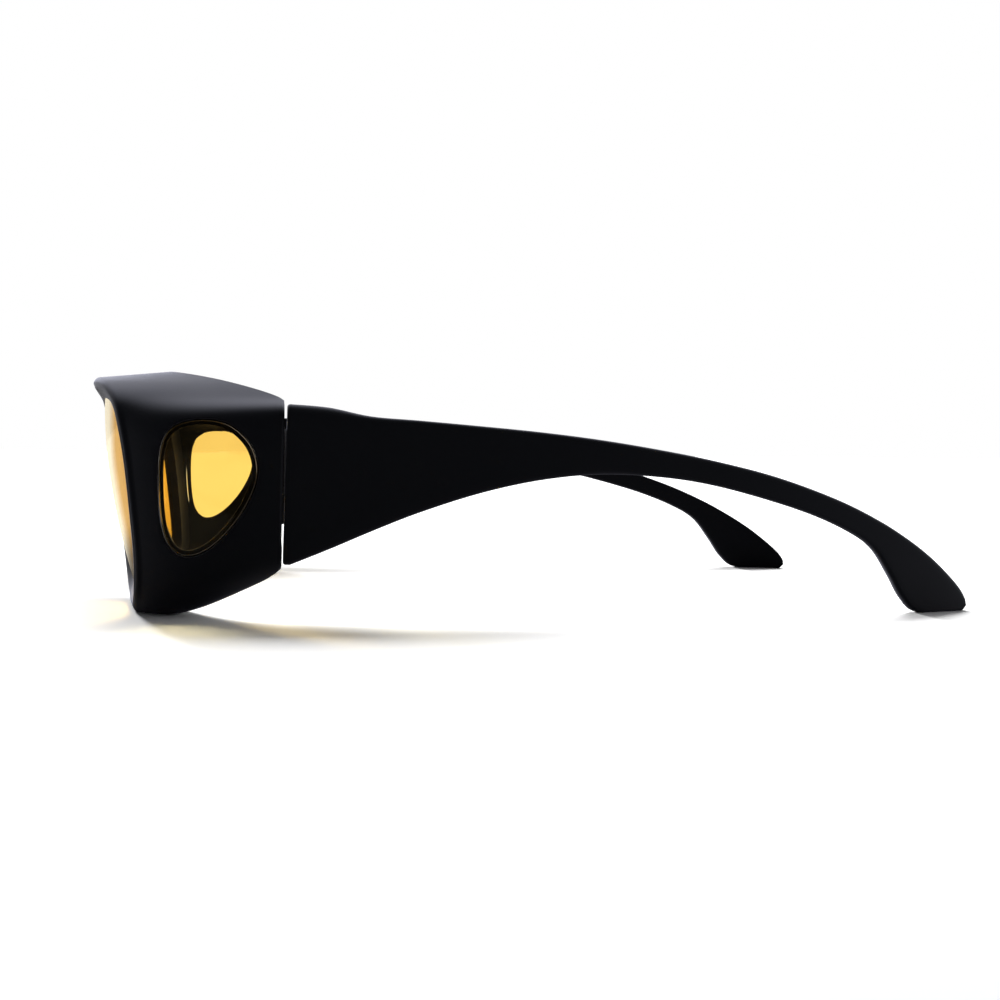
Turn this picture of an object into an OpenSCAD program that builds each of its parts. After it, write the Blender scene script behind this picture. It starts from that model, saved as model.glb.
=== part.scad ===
// Fit-over goggles that block blue light: one black front moulding with two amber front lenses,
// two amber side windows and two temples that fold on small metal hinges.
// Millimetres. +X is the wearer's left, -Y is where the wearer looks, +Z is up, the table is z = 0.

/* [Front] */
// Width over the side walls, at the hinges
front_width = 146; // [138:1:156]
// Height from the table to the top of the brow
front_height = 42.8; // [39:0.2:46]
// Depth from the brow's front edge to the joint with the temples
front_depth = 36.2; // [34:0.2:40]
// How far the face runs back from its middle to its outer corner
wrap = 6.4; // [4:0.2:9]
// Lean of the face, its top forward
tilt = 5.8; // [3:0.2:8]
// Thickness of the walls
wall = 2.2; // [1.8:0.1:2.6]
// Thickness of the rim that holds the front lenses
rim = 3.6; // [3.2:0.1:4.6]

/* [Lenses] */
// Thickness of the front lenses
lens_thickness = 1.8; // [1.4:0.1:2.2]
// How far a front lens swells forward of its edge
lens_bulge = 1; // [0.4:0.1:1.6]
// Length of the side window's opening, from front to rear
window_length = 16.8; // [12:0.2:17.2]
// Height of the side window's opening
window_height = 23.2; // [18:0.4:24]
// Thickness of the side windows, which rest on a ledge left of the wall
window_thickness = 1.2; // [1:0.1:1.5]

/* [Temples] */
// Length of a temple from the joint to the rear of its tip
temple_length = 126.4; // [116:0.5:134]
// Thickness of a temple
temple_thickness = 3; // [2.6:0.1:3.6]
// How far a temple's tip bows in towards the head
bow = 15; // [8:0.5:17]
// Gap between the front and the temple
joint_gap = 0.45; // [0.35:0.05:0.7]

/* [Hinges] */
// Diameter of the hinge barrel
barrel = 2.8; // [2.4:0.1:3.2]
// Height of the hinge barrel
barrel_height = 10.5; // [9:0.5:12]
// Diameter of the hinge screw's shank
screw = 1.2; // [1:0.1:1.4]
// Thickness of the hinge leaves
leaf = 0.9; // [0.7:0.1:1.1]

/* [Hidden] */
half_width = front_width / 2;
// how far the brow's edge leads the face, measured at half height
brow_lead = 3.2;
face_depth = front_depth - brow_lead;
// how far the face's lower middle falls back
chin_back = 3.6;
// share of the lead that the face has halfway between its opening and its edge
lead_share = 0.6;
lens_setback = 0.3;
lens_seat = 0.8;
window_setback = 0.3;
// width of the ledge behind a side window
window_ledge = 1.1;
edge_round = 0.9;
rim_step = 0.6;
// the joint between front and temples, with the whole part centred on y = 0
joint_y = (front_depth - temple_length) / 2;
// how far the joint's lower end lies ahead of its upper end, and how much its gap closes downwards
joint_lean = 0.35;
joint_close = 0.3;

black = [0.04, 0.04, 0.045];
amber = [1, 0.72, 0.2, 0.45];
steel = [0.7, 0.7, 0.72];

// Curves

// Smooth curve through a list of points: place u between point i and the next one
function weave(a, b, c, d, u) =
    0.5 * (2 * b + (c - a) * u + (2 * a - 5 * b + 4 * c - d) * u * u + (3 * b - a - 3 * c + d) * u * u * u);
function closed_curve(p, steps) =
    let (n = len(p))
    [for (i = [0 : n - 1], j = [0 : steps - 1])
        weave(p[(i + n - 1) % n], p[i], p[(i + 1) % n], p[(i + 2) % n], j / steps)];
function open_curve(p, steps) =
    let (last = len(p) - 1)
    [for (i = [0 : last - 1], j = [0 : (i == last - 1 ? steps : steps - 1)])
        weave(p[max(i - 1, 0)], p[i], p[i + 1], p[min(i + 2, last)], j / steps)];
function lerp(a, b, t) = a + (b - a) * t;
function unit(v) = v / max(norm(v), 0.000001);

// Skin over rings of equal length; a ring closes on itself, and the rings close where wanted
module skin(rings, around) {
    n = len(rings);
    m = len(rings[0]);
    last = around ? n - 1 : n - 2;
    sides = [for (i = [0 : last], j = [0 : m - 1])
        let (a = i * m + j, b = i * m + (j + 1) % m,
            c = ((i + 1) % n) * m + (j + 1) % m, d = ((i + 1) % n) * m + j)
        each [[a, b, c], [a, c, d]]];
    start = [[for (j = [m - 1 : -1 : 0]) j]];
    end = [[for (j = [0 : m - 1]) (n - 1) * m + j]];
    polyhedron([for (r = rings) each r], around ? sides : concat(sides, start, end), convexity = 10);
}

// Front

// Places round the left eye, from the bridge out along the brow, down the side and back below.
// Each row: lens opening x, z; outer front edge x, z; lead of that edge before the face;
// rear edge x, y from the joint, z; how soon the wall spreads sideways; how late it rises or falls
round_the_eye = [
    [12.6, 33.0,   0.0,  38.0,  0.5,   0.0,  -26.0,  39.0,  1.0,  1.0],
    [15.6, 36.0,   0.0,  41.4,  1.1,   0.0,  -25.5,  42.4,  1.0,  1.0],
    [24.0, 37.6,  20.0,  41.7,  1.5,  20.0,  -23.5,  42.8,  1.0,  1.0],
    [38.0, 37.7,  37.0,  41.6,  1.3,  39.0,  -20.0,  42.8,  1.0,  1.0],
    [50.0, 36.6,  51.5,  40.2,  1.0,  54.5,  -10.0,  40.7,  1.2,  1.0],
    [57.0, 33.8,  59.8,  37.6,  0.7,  65.0,   -0.4,  37.6,  1.6,  1.0],
    [60.2, 29.5,  63.4,  33.6,  0.6,  71.7,    0.0,  35.3,  2.6,  1.0],
    [61.2, 24.0,  64.6,  27.0,  0.3,  73.0,   -0.1,  30.0,  3.0,  1.0],
    [61.2, 17.0,  64.8,  18.5,  0.2,  73.0,   -0.3,  21.0,  3.0,  1.0],
    [60.6, 10.0,  64.4,   9.6,  0.2,  73.0,   -0.4,  13.5,  3.0,  1.0],
    [57.4,  4.8,  61.9,   3.0,  0.6,  71.6,   -0.5,   8.4,  2.6,  1.4],
    [49.3,  3.5,  53.5,  -0.5,  1.0,  65.5,   -9.5,   3.6,  2.0,  2.2],
    [38.0,  3.6,  40.0,  -0.5,  1.2,  48.0,  -18.5,   0.2,  1.2,  1.6],
    [28.2,  6.2,  27.0,   2.6,  1.2,  29.0,  -20.5,   2.7,  1.0,  1.0],
    [21.6, 11.6,  17.6,   8.2,  0.8,  18.6,  -22.5,   7.8,  1.0,  1.0],
    [16.6, 17.6,  11.6,  15.6,  0.5,  12.8,  -24.2,  15.0,  1.0,  1.0],
    [13.6, 23.8,   6.6,  22.6,  0.5,   7.6,  -25.0,  22.0,  1.0,  1.0],
    [12.7, 27.0,   3.0,  25.3,  0.5,   3.4,  -25.5,  24.8,  1.0,  1.0],
    [12.3, 29.2,   0.0,  26.1,  0.5,   0.0,  -26.0,  25.8,  1.0,  1.0],
    [12.2, 31.2,   0.0,  29.0,  0.5,   0.0,  -26.0,  29.0,  1.0,  1.0],
];
// the table is drawn for one size of front and stretches with it
drawn_depth = 36.2;
drawn_middle = 22;
drawn_corner = 62;
drawn_chin = 36;
sx = half_width / max([for (row = round_the_eye) row[5]]);
sz = front_height / max([for (row = round_the_eye) row[7]]);
sy = front_depth / drawn_depth;
mid_z = drawn_middle * sz;
chin_height = drawn_chin * sz;
corner_x = drawn_corner * sx;
eye_steps = 4;
eye = closed_curve(round_the_eye, eye_steps);
eyes = len(eye);

// Front surface of the face, before any raised edge
function face_y(x, z) =
    let (across = pow(x / corner_x, 2))
    joint_y - face_depth + wrap * across - tan(tilt) * (z - mid_z)
        + chin_back * max(0, 1 - across) * pow(max(0, chin_height - z) / chin_height, 2);

function opening(i) = [eye[i][0] * sx, eye[i][1] * sz];
function front_edge(i) = [max(eye[i][2] * sx, 0), max(eye[i][3] * sz, 0)];
function rear_edge(i) = [min(max(eye[i][5] * sx, 0), half_width), min(eye[i][7] * sz, front_height)];
// the rear edge keeps to the joint's leaning plane
function rear_y(i) =
    joint_y + min(eye[i][6] * sy, -joint_lean * max(joint_low(rear_edge(i)[1]), 0));
function edge_y(i) = face_y(front_edge(i)[0], front_edge(i)[1]) - eye[i][4];

// Direction into the eye's hollow, square to a loop of places
function inward(a, b) = unit([b[1] - a[1], a[0] - b[0]]);
function inward_front(i) = inward(front_edge((i + eyes - 1) % eyes), front_edge((i + 1) % eyes));
function inward_rear(i) = inward(rear_edge((i + eyes - 1) % eyes), rear_edge((i + 1) % eyes));

// A place on the wall: share t of the way from the front edge to the rear edge, depth d below the skin
function wall_place(i, t, d) =
    let (f = front_edge(i), r = rear_edge(i),
        spread = 1 - pow(1 - t, max(eye[i][8], 1)), rise = pow(t, max(eye[i][9], 1)),
        n = unit(lerp(inward_front(i), inward_rear(i), t)),
        y = lerp(edge_y(i) + edge_round, rear_y(i), t))
    [lerp(f[0], r[0], spread) + n[0] * d, y, max(lerp(eye[i][3] * sz, r[1], rise), 0) + n[1] * d];

// The wall's inner face starts behind the rim
function inner_place(i, t) =
    let (w = wall_place(i, t, wall))
    [w[0], max(w[1], face_y(w[0], w[2]) + rim + rim_step * (0.5 + t)), w[2]];

function at_face(p, i, dy) = [p[0], face_y(p[0], p[1]) + dy, p[1]];
wall_shares = [0.08, 0.2, 0.35, 0.55, 0.78, 0.97];

// The rounded edge fades out sideways where both halves of the front join on x = 0
join_fade = 4;
function round_way(i) =
    let (n = inward_front(i))
    [n[0] * min(1, front_edge(i)[0] / join_fade), n[1]];

// One section through rim and wall, starting at the lens opening's front edge
function section(i) =
    let (a = opening(i), f = front_edge(i), n = round_way(i), lead = eye[i][4],
        near = f + n * edge_round, mid = lerp(a, near, 0.5))
    concat(
        [at_face(a, i, 0), at_face(mid, i, -lead_share * lead)],
        [[near[0], edge_y(i), near[1]]],
        [[f[0] + n[0] * edge_round * 0.3, edge_y(i) + edge_round * 0.3, f[1] + n[1] * edge_round * 0.3]],
        [for (t = wall_shares) wall_place(i, t, 0)],
        [wall_place(i, 1, 0.25 * wall), wall_place(i, 1, 0.75 * wall)],
        [for (k = [len(wall_shares) - 1 : -1 : 2]) inner_place(i, wall_shares[k])],
        [let (w = wall_place(i, 0.2, wall)) at_face([w[0], w[2]], i, rim)],
        [at_face(a, i, rim)]
    );

module eye_shell() {
    skin([for (i = [0 : eyes - 1]) section(i)], true);
}

// Strip of the side wall between two depths below its skin, for the side windows
side_from = 6 * eye_steps;
side_to = 10 * eye_steps;
module side_band(outer, inner) {
    shares = [for (k = [0 : 8]) 0.12 + k * 0.11];
    skin([for (i = [side_from : side_to])
        concat(
            [for (t = shares) wall_place(i, t, outer)],
            [for (k = [len(shares) - 1 : -1 : 0]) wall_place(i, shares[k], inner)])], false);
}

// Side window outline: y from the joint and z for an opening of the drawn size
window_drawn_length = 16.8;
window_drawn_height = 23.2;
window_middle = [-12.7, 22.2];
window_outline = [
    [-14.0, 33.7], [-18.5, 32.5], [-20.7, 29.0], [-21.1, 22.0], [-20.3, 14.6], [-18.1, 11.1], [-14.9, 10.6],
    [-11.2, 12.7], [-7.5, 16.9], [-4.9, 21.8], [-4.3, 26.0], [-5.8, 30.0], [-9.4, 33.0],
];
window_stretch = [window_length / window_drawn_length, window_height / window_drawn_height];
window_points = [for (p = closed_curve(window_outline, 4))
    [joint_y + (window_middle[0] + (p[0] - window_middle[0]) * window_stretch[0]) * sy,
        (window_middle[1] + (p[1] - window_middle[1]) * window_stretch[1]) * sz]];
function grown(points, by) =
    let (n = len(points))
    [for (i = [0 : n - 1]) points[i] - inward(points[(i + 1) % n], points[(i + n - 1) % n]) * by];
module window_prism(grow) {
    translate([half_width / 2, 0, 0])
        rotate([90, 0, 90])
            linear_extrude(half_width)
                polygon(grown(window_points, grow));
}

module side_lens() {
    intersection() {
        window_prism(0);
        side_band(window_setback, window_setback + window_thickness);
    }
}

// The seat for a side window, open towards the outside, and the smaller hole behind it
module window_seat() {
    intersection() {
        window_prism(0);
        side_band(-wall, window_setback + window_thickness);
    }
    window_prism(-window_ledge);
}

module side_lens_left() {
    color(amber) side_lens();
}
module side_lens_right() {
    color(amber) mirror([1, 0, 0]) side_lens();
}

// Front lenses: a domed pane, its edge let into the rim all round
drawn_lens_middle = [38, 21];
lens_middle = [drawn_lens_middle[0] * sx, drawn_lens_middle[1] * sz];
lens_shares = [0.35, 0.65, 0.87, 1];
// its corners lie between those of the opening, so that no edges meet where it is let in
function lens_place(i, share, dy) =
    let (a = lerp(opening(i), opening((i + 1) % eyes), 0.5), out = unit(a - lens_middle),
        edge = a + out * lens_seat, p = lerp(lens_middle, edge, share))
    [p[0], face_y(p[0], p[1]) + lens_setback - lens_bulge * (1 - share * share) + dy, p[1]];
module front_lens() {
    rings = concat(
        [for (s = lens_shares) [for (i = [0 : eyes - 1]) lens_place(i, s, lens_thickness)]],
        [for (k = [len(lens_shares) - 1 : -1 : 0])
            [for (i = [0 : eyes - 1]) lens_place(i, lens_shares[k], 0)]]);
    skin(rings, false);
}
module front_lens_left() {
    color(amber) front_lens();
}
module front_lens_right() {
    color(amber) mirror([1, 0, 0]) front_lens();
}

// Nose pads: a swelling of the frame on either side of the nose
pad_size = 2.6;
pad_places = [[8.6, -26, 23.2], [10.4, -25.4, 19.6], [12.6, -25, 15.8], [15.2, -24.6, 12], [18, -24.4, 9]];
module nose_pad() {
    for (k = [0 : len(pad_places) - 2])
        hull() {
            pad_bead(pad_places[k]);
            pad_bead(pad_places[k + 1]);
        }
}
module pad_bead(p) {
    translate([p[0] * sx, joint_y + p[1], p[2] * sz])
        scale([0.75, 1, 1.1])
            sphere(d = pad_size, $fn = 14);
}

// Hinges: on each side two bent leaves, their feet buried in the plastic, and a slotted screw

// how far the barrel stays clear of the temple's inner face
barrel_clear = 0.35;
axis_x = half_width - temple_thickness - barrel / 2 - barrel_clear;
axis_y = joint_y + joint_gap / 2;
drawn_hinge = 26.5;
hinge_z = drawn_hinge * sz;
knuckle = barrel_height / 3;
// running clearance between turning parts
run = 0.05;
// a leaf's foot: its near face from the joint, its thickness along y and its depth into the plastic
foot_from = 1.9;
foot_thick = 1.1;
foot_cover = 1.5;
foot_x = half_width - foot_cover;
// the boss round a foot: where it starts, how thick it is and how far it goes past the foot
boss_from = 1.45;
boss_thick = 1.9;
temple_boss_more = 0.4;
boss_round = 0.6;
boss_wrap = 0.8;
boss_inner = axis_x - leaf / 2 - boss_wrap;
boss_outer = half_width - 1;
boss_height = barrel_height + 1.2;

// Swelling on the plastic's inner side that holds a leaf's foot, from y near to y far
module hinge_boss(near, far) {
    low = min(near, far) + boss_round;
    high = max(near, far) - boss_round;
    hull()
        for (y = [low, high], side = [-1, 1])
            translate([boss_inner, y, hinge_z + side * (boss_height / 2 - boss_round)])
                rotate([0, 90, 0])
                    cylinder(r = boss_round, h = boss_outer - boss_inner, $fn = 24);
}

module barrel_part(from, to) {
    translate([axis_x, axis_y, hinge_z + from])
        cylinder(d = barrel, h = to - from, $fn = 48);
}
module screw_bore() {
    translate([axis_x, axis_y, hinge_z - barrel_height])
        cylinder(r = screw / 2 + run, h = 2 * barrel_height, $fn = 48);
}
// A box between two y values, its corners given by x and z
module bar(x, y, z) {
    translate([x[0], min(y), z[0]])
        cube([x[1] - x[0], abs(y[1] - y[0]), z[1] - z[0]]);
}

front_foot_y = [joint_y - foot_from - foot_thick, joint_y - foot_from];
temple_foot_y = [joint_y + joint_gap + foot_from, joint_y + joint_gap + foot_from + foot_thick];
leaf_x = [axis_x - leaf / 2, axis_x + leaf / 2];
half_barrel = barrel_height / 2;
half_knuckle = knuckle / 2;
foot_step = 0.8;
front_foot_half = half_barrel;
temple_foot_half = half_barrel - foot_step;

// the bent plates of both leaves, which also cut their own seats in the plastic
module front_plates() {
    bar([leaf_x[0], foot_x], front_foot_y, [hinge_z - front_foot_half, hinge_z + front_foot_half]);
    bar(leaf_x, [front_foot_y[0], axis_y], [hinge_z + half_knuckle, hinge_z + half_barrel]);
    bar(leaf_x, [front_foot_y[0], axis_y], [hinge_z - half_barrel, hinge_z - half_knuckle]);
}
module temple_plates() {
    bar([leaf_x[0], foot_x], temple_foot_y, [hinge_z - temple_foot_half, hinge_z + temple_foot_half]);
    bar(leaf_x, [axis_y, temple_foot_y[1]], [hinge_z - half_knuckle + run, hinge_z + half_knuckle - run]);
}

module hinge_front_leaf() {
    difference() {
        union() {
            front_plates();
            barrel_part(half_knuckle, half_barrel);
            barrel_part(-half_barrel, -half_knuckle);
        }
        screw_bore();
    }
}
module hinge_temple_leaf() {
    difference() {
        union() {
            temple_plates();
            barrel_part(-half_knuckle + run, half_knuckle - run);
        }
        screw_bore();
    }
}

// Screw with a slotted cheese head, seated on the upper barrel
head = 2.3;
head_height = 0.7;
slot = 0.4;
screw_proud = 0.2;
module hinge_screw() {
    difference() {
        union() {
            translate([axis_x, axis_y, hinge_z - half_barrel - screw_proud])
                cylinder(d = screw, h = barrel_height + 2 * screw_proud, $fn = 48);
            translate([axis_x, axis_y, hinge_z + half_barrel])
                cylinder(d = head, h = head_height, $fn = 48);
        }
        translate([axis_x - head, axis_y - slot / 2, hinge_z + half_barrel + head_height / 2])
            cube([2 * head, slot, head_height]);
    }
}

module hinge_front_leaf_left() {
    color(steel) hinge_front_leaf();
}
module hinge_front_leaf_right() {
    color(steel) mirror([1, 0, 0]) hinge_front_leaf();
}
module hinge_temple_leaf_left() {
    color(steel) hinge_temple_leaf();
}
module hinge_temple_leaf_right() {
    color(steel) mirror([1, 0, 0]) hinge_temple_leaf();
}
module hinge_screw_left() {
    color(steel) hinge_screw();
}
module hinge_screw_right() {
    color(steel) mirror([1, 0, 0]) hinge_screw();
}

// The front moulding: both eye shells, nose pads and bosses, with seats cut for what is set into it
module front_frame() {
    color(black)
        union()
            for (side = [0, 1])
                mirror([side, 0, 0])
                    difference() {
                        union() {
                            eye_shell();
                            nose_pad();
                            hinge_boss(joint_y - boss_from, joint_y - boss_from - boss_thick);
                        }
                        window_seat();
                        front_lens();
                        front_plates();
                    }
}

// Temples

// Places along the left temple: upper edge y, z; lower edge y, z; thickness share; rounding on top
temple_rungs = [
    [  1.0, 36.3,   1.0,  9.3, 1.00, 2.0],
    [  7.5, 35.8,   7.7, 12.0, 1.00, 1.9],
    [ 14.5, 34.4,  15.2, 15.2, 0.98, 1.2],
    [ 22.6, 33.8,  22.8, 18.2, 0.96, 0.9],
    [ 32.8, 33.0,  33.0, 21.5, 0.94, 0.9],
    [ 43.2, 32.1,  43.3, 23.8, 0.92, 0.9],
    [ 53.7, 30.9,  53.7, 24.9, 0.90, 0.9],
    [ 64.3, 29.3,  63.5, 24.6, 0.90, 0.9],
    [ 75.2, 27.3,  72.5, 23.5, 0.90, 0.9],
    [ 86.5, 24.6,  81.8, 21.4, 0.92, 0.9],
    [ 98.2, 20.7,  92.7, 18.2, 0.94, 0.9],
    [107.0, 16.8, 100.7, 14.9, 0.96, 0.9],
    [113.6, 13.1, 105.4, 11.9, 0.98, 0.9],
    [118.5,  9.8, 108.9,  7.2, 1.00, 0.9],
    [122.4,  6.6, 111.6,  3.0, 1.00, 0.9],
    [125.0,  4.1, 114.8,  0.2, 1.00, 0.9],
    [126.3,  2.2, 120.0,  0.0, 1.00, 0.8],
    [126.4,  1.1, 125.4,  0.0, 1.00, 0.4],
];
drawn_temple = 126.4;
sl = temple_length / drawn_temple;
temple_steps = 3;
inner_round = 0.7;
low_round = 0.8;

function temple_skin_x(y) = half_width - bow * pow(max(y, 0) / drawn_temple, 4);

// How far down the joint a height lies, from 0 at its upper end to 1 at its lower end
function joint_low(z) =
    let (first = temple_rungs[0])
    (first[1] * sz - z) / ((first[1] - first[3]) * sz);

// One closed section across the temple, shrunk by s all round
function temple_ring(rung, s) =
    let (t = [rung[0], rung[1]], b = [rung[2], rung[3]], e = unit(b - t), high = norm(b - t) - s,
        thick = rung[4] * temple_thickness, small = min(1, norm(b - t) / 2.4),
        rt = min(rung[5], thick - inner_round - 0.2) * small,
        rb = low_round * small, ri = inner_round * small, q = 0.29,
        marks = [
            [s, rt + s], [s + q * rt, q * rt + s], [s + rt, s],
            [high * 0.35, s], [high * 0.65, s],
            [high - rb, s], [high - q * rb, q * rb + s], [high, rb + s],
            [high, thick - ri - s], [high - q * ri, thick - q * ri - s], [high - ri, thick - s],
            [high * 0.65, thick - s], [high * 0.35, thick - s],
            [s + ri, thick - s], [s + q * ri, thick - q * ri - s], [s, thick - ri - s]])
    [for (m = marks) let (p = t + e * m[0])
        [temple_skin_x(p[0]) - m[1], joint_y + p[0] * sl, max(p[1] * sz, 0)]];

module temple_blade() {
    rungs = open_curve(temple_rungs, temple_steps);
    front_ring = [for (p = temple_ring(rungs[0], 0.5))
        [p[0], joint_y + joint_gap - (joint_lean + joint_close) * joint_low(p[2]), p[2]]];
    skin(concat([for (k = [len(rungs) - 1 : -1 : 0]) temple_ring(rungs[k], 0)], [front_ring]), false);
}
module temple() {
    near = joint_y + joint_gap + boss_from;
    difference() {
        union() {
            temple_blade();
            hinge_boss(near, near + boss_thick + temple_boss_more);
        }
        temple_plates();
    }
}
module temple_left() {
    color(black) temple();
}
module temple_right() {
    color(black) mirror([1, 0, 0]) temple();
}

front_frame();
front_lens_left();
front_lens_right();
side_lens_left();
side_lens_right();
temple_left();
temple_right();
hinge_front_leaf_left();
hinge_front_leaf_right();
hinge_temple_leaf_left();
hinge_temple_leaf_right();
hinge_screw_left();
hinge_screw_right();
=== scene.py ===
import math
import bpy
import numpy as np
from mathutils import Matrix, Vector
from mathutils.bvhtree import BVHTree


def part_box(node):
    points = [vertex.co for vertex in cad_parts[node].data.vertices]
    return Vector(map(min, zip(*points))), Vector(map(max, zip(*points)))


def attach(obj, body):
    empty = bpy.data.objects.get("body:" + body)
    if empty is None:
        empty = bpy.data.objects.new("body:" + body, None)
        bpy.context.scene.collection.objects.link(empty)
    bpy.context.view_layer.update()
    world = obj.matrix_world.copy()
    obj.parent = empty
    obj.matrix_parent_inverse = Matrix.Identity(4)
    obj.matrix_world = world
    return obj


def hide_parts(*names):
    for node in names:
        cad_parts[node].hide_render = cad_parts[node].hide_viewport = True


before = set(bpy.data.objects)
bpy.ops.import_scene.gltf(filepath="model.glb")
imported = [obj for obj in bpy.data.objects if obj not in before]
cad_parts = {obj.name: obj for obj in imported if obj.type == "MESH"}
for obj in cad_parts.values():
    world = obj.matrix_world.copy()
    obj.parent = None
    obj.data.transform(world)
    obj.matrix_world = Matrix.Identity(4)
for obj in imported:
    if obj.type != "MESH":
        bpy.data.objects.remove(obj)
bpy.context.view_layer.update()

# Camera: beside the joint and level with the goggles, looking at the wearer's left side, a little
# rearwards and down, so that the front's near side, the joint and both temples show.
lens_focal = 62.93
camera_place = (0.367, -0.0505, 0.0292)
camera_turn = 8.089
camera_drop = 1.686
camera_roll = 0.587
look = bpy.data.cameras.new("camera")
look.lens = lens_focal
look.sensor_width = 36
look.clip_start = 0.01
camera = bpy.data.objects.new("camera", look)
bpy.context.collection.objects.link(camera)
camera.matrix_world = (
    Matrix.Translation(camera_place)
    @ Matrix.Rotation(math.radians(90 - camera_turn), 4, "Z")
    @ Matrix.Rotation(math.radians(90 - camera_drop), 4, "X")
    @ Matrix.Rotation(math.radians(camera_roll), 4, "Z")
)
bpy.context.scene.camera = camera
bpy.context.scene.view_settings.view_transform = "Standard"

# Front moulding: one injection-moulded shell of black polycarbonate with a soft matt finish.
# A rim with a raised brow runs round each eye and turns back into a wall 2.2 mm thick, and both
# halves meet in the bridge. The numbers are the part's own, in millimetres.
MM = 0.001
roll_steps = 5
half_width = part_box("front_frame")[1][0] / MM
joint_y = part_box("front_frame")[1][1] / MM
face_depth = 32.98
face_middle, face_corner = 22, 62
wrap = 6.4
lean = math.tan(math.radians(5.8))
wall = 2.2
rim = 3.6
edge_round = 0.9
chin_back, chin_height = 3.6, 36
arch_top, brow_top, wall_top = 26.1, 41.7, 42.78
# the joint's ends, and how far its lower end lies ahead of its upper end
joint_top, joint_foot, joint_lean = 36.3, 9.3, 0.35
# each row: lens opening x, z; outer front edge x, z; lead of that edge before the face;
# rear edge x, y from the joint, z; how soon the wall spreads sideways; how late it rises or falls
round_the_eye = [
    [12.6, 33.0, 0.0, 38.0, 0.5, 0.0, -26.0, 39.0, 1.0, 1.0],
    [15.6, 36.0, 0.0, 41.7, 1.1, 0.0, -25.5, 42.78, 1.0, 1.0],
    [24.0, 37.6, 20.0, 41.7, 1.5, 20.0, -23.5, 42.78, 1.0, 1.0],
    [38.0, 37.7, 37.0, 41.6, 1.3, 39.0, -20.0, 42.78, 1.0, 1.0],
    [50.0, 36.6, 51.5, 40.2, 1.0, 54.5, -10.0, 40.7, 1.2, 1.0],
    [57.0, 33.8, 59.8, 37.6, 0.7, 65.0, -0.4, 37.6, 1.6, 1.0],
    [60.2, 29.5, 63.4, 33.6, 0.6, 71.7, 0.0, 35.3, 2.6, 1.0],
    [61.2, 24.0, 64.6, 27.0, 0.3, 73.0, -0.1, 30.0, 3.0, 1.0],
    [61.2, 17.0, 64.8, 18.5, 0.2, 73.0, -0.3, 21.0, 3.0, 1.0],
    [60.6, 10.0, 64.4, 9.6, 0.2, 73.0, -0.4, 13.5, 3.0, 1.0],
    [57.4, 4.8, 61.9, 3.0, 0.6, 71.6, -0.5, 8.4, 2.6, 1.4],
    [49.3, 3.5, 53.5, -0.5, 1.0, 65.5, -9.5, 3.6, 2.0, 2.2],
    [38.0, 3.6, 40.0, -0.5, 1.2, 48.0, -18.5, 0.2, 1.2, 1.6],
    [28.2, 6.2, 27.0, 2.6, 1.2, 29.0, -20.5, 2.7, 1.0, 1.0],
    [21.6, 11.6, 17.6, 8.2, 0.8, 18.6, -22.5, 7.8, 1.0, 1.0],
    [16.6, 17.6, 11.6, 15.6, 0.5, 12.8, -24.2, 15.0, 1.0, 1.0],
    [13.6, 23.8, 6.6, 22.6, 0.5, 7.6, -25.0, 22.0, 1.0, 1.0],
    [12.7, 27.0, 3.0, 25.3, 0.5, 3.4, -25.5, 24.8, 1.0, 1.0],
    [12.3, 29.2, 0.0, 26.1, 0.5, 0.0, -26.0, 25.8, 1.0, 1.0],
    [12.2, 31.2, 0.0, 29.0, 0.5, 0.0, -26.0, 29.0, 1.0, 1.0],
]


def weave(a, b, c, d, u):
    """The place at u between b and c on a smooth curve through four points"""
    return [
        0.5 * (2 * q + (r - p) * u + (2 * p - 5 * q + 4 * r - s) * u * u + (3 * q - p - 3 * r + s) * u**3)
        for p, q, r, s in zip(a, b, c, d)
    ]


def closed_curve(points, steps):
    """A smooth loop through the points, with so many steps from each to the next"""
    n = len(points)
    return [
        weave(points[i - 1], points[i], points[(i + 1) % n], points[(i + 2) % n], j / steps)
        for i in range(n)
        for j in range(steps)
    ]


def face_y(x, z):
    """The face: wrapped back at its corners, leaning forward, with a chin that falls back"""
    across = (x / face_corner) ** 2
    chin = chin_back * max(0, 1 - across) * (max(0, chin_height - z) / chin_height) ** 2
    return joint_y - face_depth + wrap * across - lean * (z - face_middle) + chin


def joint_low(z):
    """0 at the joint's upper end, 1 at its lower end"""
    return (joint_top - z) / (joint_top - joint_foot)


def blend(a, b, t):
    """The place a share t of the way from a to b"""
    return [p + (q - p) * t for p, q in zip(a, b)]


def inward(a, b):
    """The way into a loop that runs clockwise from a to b"""
    x, z = b[1] - a[1], a[0] - b[0]
    size = max(math.hypot(x, z), 1e-9)
    return [x / size, z / size]


# the loop swings past its points a little, so it is kept on this side of the middle plane, on the
# table, under the brow's top and ahead of the joint; drop is the edge's height before that
eye_steps = 9
eye = closed_curve(round_the_eye, eye_steps)
drop = [min(row[3], brow_top) for row in eye]
for row in eye:
    row[2], row[3] = max(row[2], 0), min(max(row[3], 0), brow_top)
    row[5], row[7] = min(max(row[5], 0), half_width), min(row[7], wall_top)
    row[6] = min(row[6], -joint_lean * max(0, joint_low(row[7])))


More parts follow.
